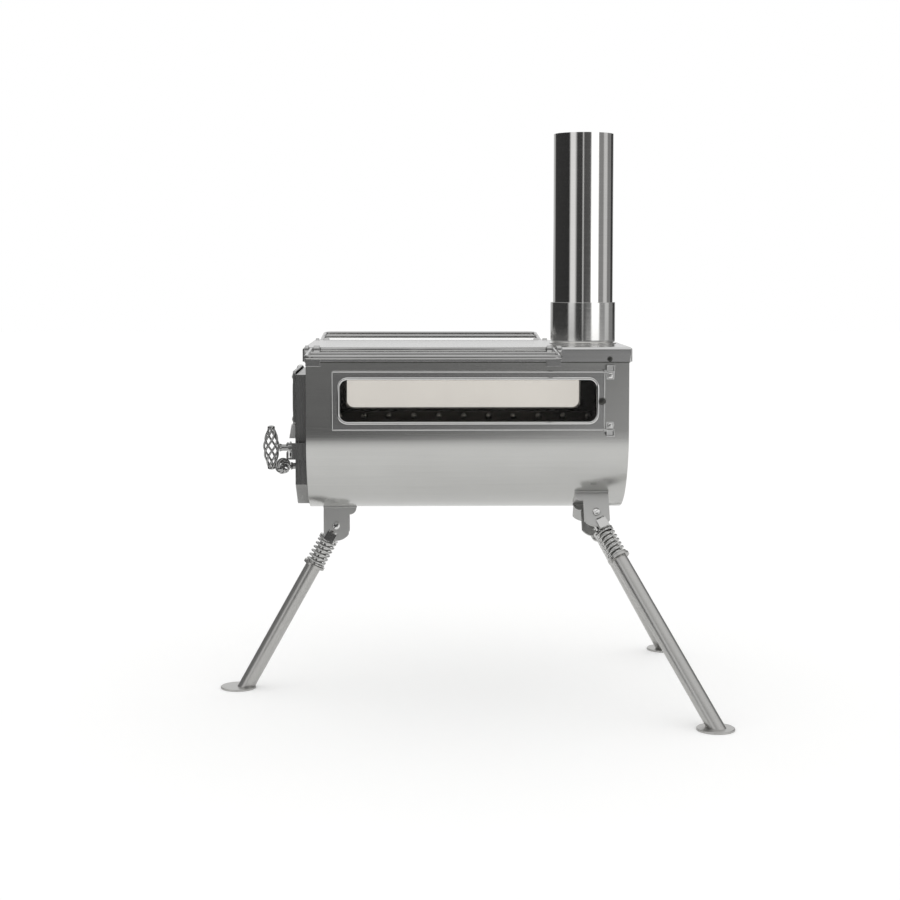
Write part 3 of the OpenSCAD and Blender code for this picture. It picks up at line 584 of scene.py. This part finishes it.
def basket(name, node, turn):
    """A twisted cage of wires with a small turned cap at each end."""
    lo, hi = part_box(node)
    centre = (lo + hi) / 2
    parts = []
    for w in range(BASKET_WIRES):
        line = [centre + turn @ p for p in basket_wire(w * 360 / BASKET_WIRES)]
        parts.append(tube(line, BASKET_WIRE / 2, WIRE_SIDES))
    end, rim = BASKET_L / 2, BASKET_END_R + BASKET_WIRE / 2
    cap = ((rim + 0.2 * MM, end - BASKET_CAP), (rim + 0.4 * MM, end - BASKET_CAP + 0.5 * MM),
           (rim + 0.2 * MM, end - 1.2 * MM), (2.6 * MM, end - 0.3 * MM), (1.0 * MM, end))
    for s in (-1, 1):
        verts, faces = revolve([(r, s * h) for r, h in cap], "z", (0, 0, 0), CAP_SIDES)
        if s < 0:
            faces = [tuple(reversed(face)) for face in faces]
        parts.append(([centre + turn @ v for v in verts], faces))
    add_piece(name, mesh_from(name, *joined(parts)), node, (node,), smooth=50)


basket("latch_handle", "latch_basket", AXIS_TURNS["z"])
basket("damper_handle", "damper_basket", AXIS_TURNS["-y"])


# ---- rims, and a painted shadow under the lid -------------------------------------------

WINDOW_X, WINDOW_Z = 2.5 * MM, 359.5 * MM      # the middle of the side windows
SIDE_RIM_Y = 105 * MM
PANE_RIM_OUT, SHADOW_STRIP_DROP = 0.1 * MM, 0.3 * MM
# half width, half height and corner radius of each loop, then the radius of its round
SIDE_RIM = (149.8, 25.8, 10.8), 1.75
FRAME_INSET, FRAME_CORNER, FRAME_ROUND = 1.1, 1.5, 1.25
PANE_RIM = (52.6, 19.1, 8.0), 1.2
LID_SHADOW_STRIP = (187.3, 100.2, 1.5), 0.95
SIDE_LOOP_SIDES, LOOP_SIDES = 16, 10


def round_loop(sizes, steps):
    """Points round a rectangle with round corners, as (across, up). The half width, half
    height and corner radius come in millimetres."""
    half_w, half_h, r = (s * MM for s in sizes)
    points = []
    for cx, cy, first in ((1, 1, 0), (-1, 1, 90), (-1, -1, 180), (1, -1, 270)):
        for k in range(steps + 1):
            x, y = circle_point(r, math.radians(first + 90 * k / steps)).xy
            points.append((cx * (half_w - r) + x, cy * (half_h - r) + y))
    return points


def loop_piece(name, like, points, radius, material, sides):
    """A round bead that runs along a closed line."""
    mesh = mesh_from(name, *tube(points, radius * MM, sides, closed=True))
    add_piece(name, mesh, like, material=MATS[material], smooth=60)


def side_loop(name, side, sign, sizes, steps, radius, material):
    """A loop that lies flat on a side window's frame."""
    points = [(WINDOW_X + x, sign * SIDE_RIM_Y, WINDOW_Z + z)
              for x, z in round_loop(sizes, steps)]
    loop_piece(f"{name}_{side}", f"window_frame_{side}", points, radius, material,
               SIDE_LOOP_SIDES)


for side, sign in SIDES:
    side_loop("window_rim", side, sign, SIDE_RIM[0], 8, SIDE_RIM[1], "bright")
    lo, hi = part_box(f"window_frame_{side}")
    frame_sizes = ((hi.x - lo.x) / 2 / MM - FRAME_INSET, (hi.z - lo.z) / 2 / MM - FRAME_INSET,
                   FRAME_CORNER)
    # The frame's rolled edge in lighter steel: a painted highlight.
    side_loop("frame_edge", side, sign, frame_sizes, 4, FRAME_ROUND, "edge")
pane_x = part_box("door_window_frame")[0].x + PANE_RIM_OUT
loop_piece("door_window_rim", "door_window_frame",
           [(pane_x, y, WINDOW_Z + z) for y, z in round_loop(PANE_RIM[0], 8)],
           PANE_RIM[1], "bright", LOOP_SIDES)
lid_lo, lid_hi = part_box("top_plate")
# A dark strip round the lid's lower edge: a painted shadow line under the lip.
loop_piece("lid_shadow_strip", "top_plate",
           [((lid_lo.x + lid_hi.x) / 2 + x, y, lid_lo.z - SHADOW_STRIP_DROP)
            for x, y in round_loop(LID_SHADOW_STRIP[0], 3)], LID_SHADOW_STRIP[1], "lid_shadow", LOOP_SIDES)


# ---- screws -----------------------------------------------------------------------------

# heads as (radius, height), each a share of the whole
SLOTTED = ((1.0, 0.0), (1.0, 0.3), (0.95, 0.58), (0.82, 0.82), (0.55, 0.97), (0.34, 1.0))
PLAIN = ((1, 0), (1, 0.25), (0.93, 0.55), (0.75, 0.83), (0.45, 0.97), (0.15, 1))
HEAD_STEPS, HEAD_SIDES = 14, 28
SLOT_DEPTH, SCREW_SLOT = 0.5, 0.26             # as shares of the head's height and width
CLIP_SCREW_R, CLIP_SCREW_H, CLIP_SCREW_Y = 3.4 * MM, 2.2 * MM, 101.5 * MM
CLIP_SCREW_INSET, CLIP_SCREW_Z = 4.8 * MM, 29 * MM
LID_SCREW_R, LID_SCREW_H = 3.1 * MM, 1.8 * MM
LID_SCREW_BACK, LID_SCREW_Y, LID_SCREW_Z = 0.5 * MM, 101.4 * MM, 407.6 * MM
FRAME_SCREW_R, FRAME_SCREW_H, FRAME_SCREW_Y = 4.4 * MM, 1.8 * MM, 105.9 * MM
FRAME_SCREW_INSET, FRAME_SCREW_DROP = 3.6 * MM, 0.5 * MM
LINER_BOLT_R, LINER_BOLT_H, LINER_BOLT_Y = 4.2 * MM, 2.6 * MM, 94.05 * MM
LINER_BOLT_STEP, LINER_BOLT_X, LINER_BOLT_Z = 31.6 * MM, 3 * MM, 325 * MM
DOOR_SCREW_R, DOOR_SCREW_H = 3 * MM, 1.6 * MM
DOOR_SCREW_Y, DOOR_SCREW_Z = 57 * MM, (384.6 * MM, 334.6 * MM)


def slotted_head(radius, height, slot, turn, centre):
    """A screw head with a real slot: two halves on a disc. The slot's width is a share of
    the head's."""
    half = radius * slot / 2
    parts = []
    for start in (0, math.pi):
        verts = []
        for across, up in SLOTTED:
            r = max(radius * across, half * 1.25)
            first = math.asin(half / r)
            for k in range(HEAD_STEPS + 1):
                angle = start + first + (math.pi - 2 * first) * k / HEAD_STEPS
                verts.append(circle_point(r, angle, height * up))
        parts.append((verts, ring_faces(len(SLOTTED), HEAD_STEPS + 1)))
    floor_z = height * (1 - SLOT_DEPTH)
    parts.append(revolve([(radius * 0.97, 0.0), (radius * 0.97, floor_z * 0.5),
                          (radius * 0.8, floor_z)], "z", (0, 0, 0), HEAD_SIDES))
    verts, faces = joined(parts)
    return [turn @ v + Vector(centre) for v in verts], faces


def screw(name, like, centre, out, radius, height, slot_way):
    """A bright slotted screw. Slot_way is a direction along its slot."""
    head = slotted_head(radius, height, SCREW_SLOT, facing(out, slot_way), centre)
    add_piece(name, mesh_from(name, *head), like, material=MATS["bright"], smooth=35)


def dome(name, like, centre, out, radius, height, material):
    """A plain round head."""
    head = revolve([(radius * r, height * h) for r, h in PLAIN],
                   facing(out, (1, 0, 0.01)), centre, HEAD_SIDES)
    add_piece(name, mesh_from(name, *head), like, material=MATS[material], smooth=50)


def side_screws(side, sign):
    """The screws of a window's clips, frame and lid lip, and the bolts of its liner."""
    clip, frame_node = f"window_clips_{side}", f"window_frame_{side}"
    out = (0, sign, 0)
    clip_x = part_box(clip)[1].x - CLIP_SCREW_INSET
    frame_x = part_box(frame_node)[1].x - FRAME_SCREW_INSET
    for k, z in enumerate((-CLIP_SCREW_Z, CLIP_SCREW_Z)):
        screw(f"clip_screw_{side}_{k}", clip, (clip_x, sign * CLIP_SCREW_Y, WINDOW_Z + z),
              out, CLIP_SCREW_R, CLIP_SCREW_H, (1, 0, 1 - 0.3 * k))
    dome(f"lid_screw_{side}", "top_plate",
         (clip_x - LID_SCREW_BACK, sign * LID_SCREW_Y, LID_SCREW_Z), out,
         LID_SCREW_R, LID_SCREW_H, "dark")
    dome(f"frame_screw_{side}", frame_node,
         (frame_x, sign * FRAME_SCREW_Y, WINDOW_Z - FRAME_SCREW_DROP), out,
         FRAME_SCREW_R, FRAME_SCREW_H, "dark")
    for i in range(-5, 6):
        dome(f"liner_bolt_{side}_{i}", f"side_liner_{side}",
             (i * LINER_BOLT_STEP + LINER_BOLT_X, sign * LINER_BOLT_Y, LINER_BOLT_Z),
             (0, -sign, 0), LINER_BOLT_R, LINER_BOLT_H, "bolt")


for side, sign in SIDES:
    side_screws(side, sign)
DOOR_SCREWS = [(y, z) for z in DOOR_SCREW_Z for y in (-DOOR_SCREW_Y, DOOR_SCREW_Y)]
for k, (y, z) in enumerate(DOOR_SCREWS):
    screw(f"door_screw_{k}", "door_window_frame", (pane_x, y, z), (-1, 0, 0),
          DOOR_SCREW_R, DOOR_SCREW_H, (0, 1, 0.4 + 0.5 * k))


# ---- leg bolts --------------------------------------------------------------------------

EAR_HALF = 15.6 * MM                           # from the leg's middle to an ear's outside
BOLT_HEAD_R, BOLT_HEAD_H, BOLT_SLOT = 4.8 * MM, 3 * MM, 0.28
BOLT_R, BOLT_PAST_EAR, BOLT_CHAMFER = 3 * MM, 4.7 * MM, 0.5 * MM
NUT = ((5.0, 0.0), (5.4, 0.5), (5.4, 3.5), (4.8, 4.0))     # (corner radius, height) in mm


def pivot_bolt(leg):
    """A slotted bolt through the ears, with a chamfered nut on its other end."""
    fold = JOINTS[f"leg_{leg}_fold"]
    pivot = Vector(fold["pos_m"])
    head_way = Vector(fold["axis"]).normalized() * (1 if leg == "front" else -1)
    nut_turn = facing(-head_way, JOINTS[f"lock_{leg}_slide"]["axis"])
    end = EAR_HALF + BOLT_PAST_EAR
    shank = [(BOLT_R, -EAR_HALF), (BOLT_R, end - BOLT_CHAMFER), (BOLT_R - BOLT_CHAMFER, end)]
    nut = [(r * MM, EAR_HALF + h * MM) for r, h in NUT]
    parts = [slotted_head(BOLT_HEAD_R, BOLT_HEAD_H, BOLT_SLOT, facing(head_way, (1, 0, 0.8)),
                          pivot + head_way * EAR_HALF),
             revolve(shank, nut_turn, pivot, 24), revolve(nut, nut_turn, pivot, 6)]
    node = f"pivot_bolt_{leg}"
    add_piece(node + "_turned", mesh_from(node, *joined(parts)), node, (node,), smooth=30)


for leg_name in LEGS:
    pivot_bolt(leg_name)


# ---- the nodes that show as they are get their material ---------------------------------

for node_name, node_obj in NODES.items():
    if not node_obj.hide_render:
        node_obj.data.materials.clear()
        node_obj.data.materials.append(look_of(node_name))


# ---- studio -----------------------------------------------------------------------------

FLOOR_HALF = 12.0
FLOOR_GLOSS_R, FLOOR_FADE_R = 1.15, 0.69       # where the floor ends and fades in the steel
FLOOR_GREY, FLOOR_GLOW = (0.88, 0.88, 0.875, 1), 0.16
WHITE = (1, 1, 1, 1)

# What the steel reflects, as (azimuth in degrees, brightness). Azimuth 0 is the
# photograph's side, 90 the flue's end and -90 the door's. None marks the soft box.
SIDE_STRIPS = ((-180, 0.50), (-148, 0.50), (-138, 0.04), (-61, 0.03), (-54, 0.85),
               (-38, 0.85), (-29, 0.05), (-9.5, 0.05), (-7, 0.60), (-5, 0.60), (-2.5, 0.08),
               (22, 0.10), (28, None), (52, None), (58, 0.26), (77, 0.26), (82, 0.62),
               (97, 0.62), (103, 0.22), (124, 0.22), (130, 0.03), (148, 0.03), (156, 0.50),
               (180, 0.50))
LOW_STRIPS = ((-180, 0.05), (-70, 0.05), (-40, 0.10), (-14, 0.02), (-4, 0.05), (3, 0.20),
              (9, 0.60), (25, 0.64), (60, 0.60), (110, 0.25), (180, 0.05))
BEHIND = ((-180, 1.0), (-169, 1.0), (-160, 0.0), (160, 0.0), (169, 1.0), (180, 1.0))
SOFT_BOX = 1.7
SOFT_BOX_HIGH, LEAST_HIGH = 0.5, 0.20          # brightness higher up, for the lid
# Heights, as the upward part of a direction, over which one zone fades to the next.
DOWN, UNDER, OVER = (-0.55, -0.25), (-0.06, -0.03), (0.0, 0.03)
HIGH, UP = (0.10, 0.20), (0.40, 0.80)
SKY, TOP, BOTTOM = (0.80, 0.80, 0.80, 1), (0.85, 0.85, 0.85, 1), (0.78, 0.78, 0.775, 1)


def make_floor():
    """A plain pale floor that the steel sees only near the stove."""
    corners = [(x * FLOOR_HALF, y * FLOOR_HALF, 0.0)
               for x, y in ((-1, -1), (1, -1), (1, 1), (-1, 1))]
    mesh = mesh_from("floor", corners, [(0, 1, 2, 3)])
    obj = bpy.data.objects.new("floor", mesh)
    bpy.context.scene.collection.objects.link(obj)
    mat = bpy.data.materials.new("floor_pale")
    mat.use_nodes = True
    tree = mat.node_tree
    tree.nodes.clear()
    make = node_maker(tree)
    path = make("ShaderNodeLightPath").outputs
    diffuse = make("ShaderNodeBsdfDiffuse", Color=FLOOR_GREY).outputs[0]
    glow = make("ShaderNodeEmission", Color=WHITE, Strength=FLOOR_GLOW).outputs[0]
    lit = make("ShaderNodeAddShader", _0=diffuse, _1=glow).outputs[0]
    seen = make("ShaderNodeMixShader", Fac=path["Is Camera Ray"], _1=diffuse, _2=lit).outputs[0]
    place = make("ShaderNodeTexCoord").outputs["Object"]
    far = make("ShaderNodeVectorMath", {"operation": "LENGTH"}, _0=place).outputs["Value"]
    fade = make("ShaderNodeMapRange", Value=far, From_Min=FLOOR_FADE_R,
                From_Max=FLOOR_GLOSS_R).outputs[0]
    gone = make("ShaderNodeMath", {"operation": "MULTIPLY"}, _0=path["Is Glossy Ray"],
                _1=fade).outputs[0]
    clear = make("ShaderNodeBsdfTransparent").outputs[0]
    out = make("ShaderNodeMixShader", Fac=gone, _1=seen, _2=clear).outputs[0]
    make("ShaderNodeOutputMaterial", Surface=out)
    mesh.materials.append(mat)


def make_reflections(make):
    """The studio that the steel reflects: strips of light and dark flags all round, in
    zones one above another."""
    way = make("ShaderNodeTexCoord").outputs["Generated"]
    xyz = make("ShaderNodeSeparateXYZ", Vector=way).outputs
    forward = make("ShaderNodeMath", {"operation": "MULTIPLY"}, _0=xyz[1], _1=-1.0).outputs[0]
    azimuth = make("ShaderNodeMath", {"operation": "ARCTAN2"}, _0=xyz[0],
                   _1=forward).outputs[0]
    turn = make("ShaderNodeMapRange", Value=azimuth, From_Min=-math.pi,
                From_Max=math.pi).outputs[0]
    height = make("ShaderNodeMapRange", Value=xyz[2], From_Min=-1.0, From_Max=1.0).outputs[0]

    def around(strips, soft_box=0.0, least=0.0):
        levels = [(a, soft_box if level is None else level) for a, level in strips]
        return ramp(make, turn, [((a + 180) / 360, max(level, least)) for a, level in levels])

    def above(zone, low=0.0, high=1.0):
        return ramp(make, height, [((1 + zone[0]) / 2, low), ((1 + zone[1]) / 2, high)])

    strips = mixed(make, above(HIGH), around(SIDE_STRIPS, SOFT_BOX),
                   around(SIDE_STRIPS, SOFT_BOX_HIGH, LEAST_HIGH))
    sides = mixed(make, above(UNDER, 1.0, 0.0), strips, around(LOW_STRIPS))
    behind = make("ShaderNodeMath", {"operation": "MULTIPLY"}, _0=around(BEHIND),
                  _1=above(OVER)).outputs[0]
    with_sky = mixed(make, behind, sides, SKY)
    with_top = mixed(make, above(UP), with_sky, TOP)
    return mixed(make, above(DOWN, 1.0, 0.0), with_top, BOTTOM)


def make_world():
    """White where the camera looks, even light on the object, and for the steel's
    reflections a studio with soft boxes and dark flags."""
    world = bpy.data.worlds.new("studio")
    bpy.context.scene.world = world
    world.use_nodes = True
    tree = world.node_tree
    tree.nodes.clear()
    make = node_maker(tree)
    path = make("ShaderNodeLightPath").outputs
    light = mixed(make, path["Is Glossy Ray"], WHITE, make_reflections(make))
    seen = make("ShaderNodeMath", {"operation": "MAXIMUM"}, _0=path["Is Camera Ray"],
                _1=path["Is Transmission Ray"]).outputs[0]
    shown = mixed(make, seen, light, WHITE)
    background = make("ShaderNodeBackground", Color=shown, Strength=1.0).outputs[0]
    make("ShaderNodeOutputWorld", Surface=background)


PHOTO_EYE = (-0.05905, -2.04136, 0.50859)
PHOTO_FOCAL, PHOTO_SIZE = 1685.87, 900                     # in the photograph's pixels
PHOTO_YAW, PHOTO_PITCH, PHOTO_ROLL = 0.02085, 0.0579, 0.00073      # radians
PHOTO_SHIFT = -0.09        # the view's shift, in picture widths
SENSOR = 36.0


def make_camera():
    """The photograph's viewpoint."""
    data = bpy.data.cameras.new("photo_camera")
    data.sensor_width = SENSOR
    data.lens = PHOTO_FOCAL / PHOTO_SIZE * SENSOR
    data.shift_y = PHOTO_SHIFT
    cam = bpy.data.objects.new("photo_camera", data)
    bpy.context.scene.collection.objects.link(cam)
    ahead = Vector((math.sin(PHOTO_YAW) * math.cos(PHOTO_PITCH),
                    math.cos(PHOTO_YAW) * math.cos(PHOTO_PITCH), -math.sin(PHOTO_PITCH)))
    level = Vector((math.cos(PHOTO_YAW), -math.sin(PHOTO_YAW), 0))
    upright = level.cross(ahead)
    right = level * math.cos(PHOTO_ROLL) + upright * math.sin(PHOTO_ROLL)
    above = upright * math.cos(PHOTO_ROLL) - level * math.sin(PHOTO_ROLL)
    axes = Matrix((right, above, -ahead)).transposed().to_4x4()
    cam.matrix_world = Matrix.Translation(PHOTO_EYE) @ axes
    bpy.context.scene.camera = cam


make_floor()
make_world()
make_camera()
bpy.context.scene.view_settings.view_transform = "Standard"
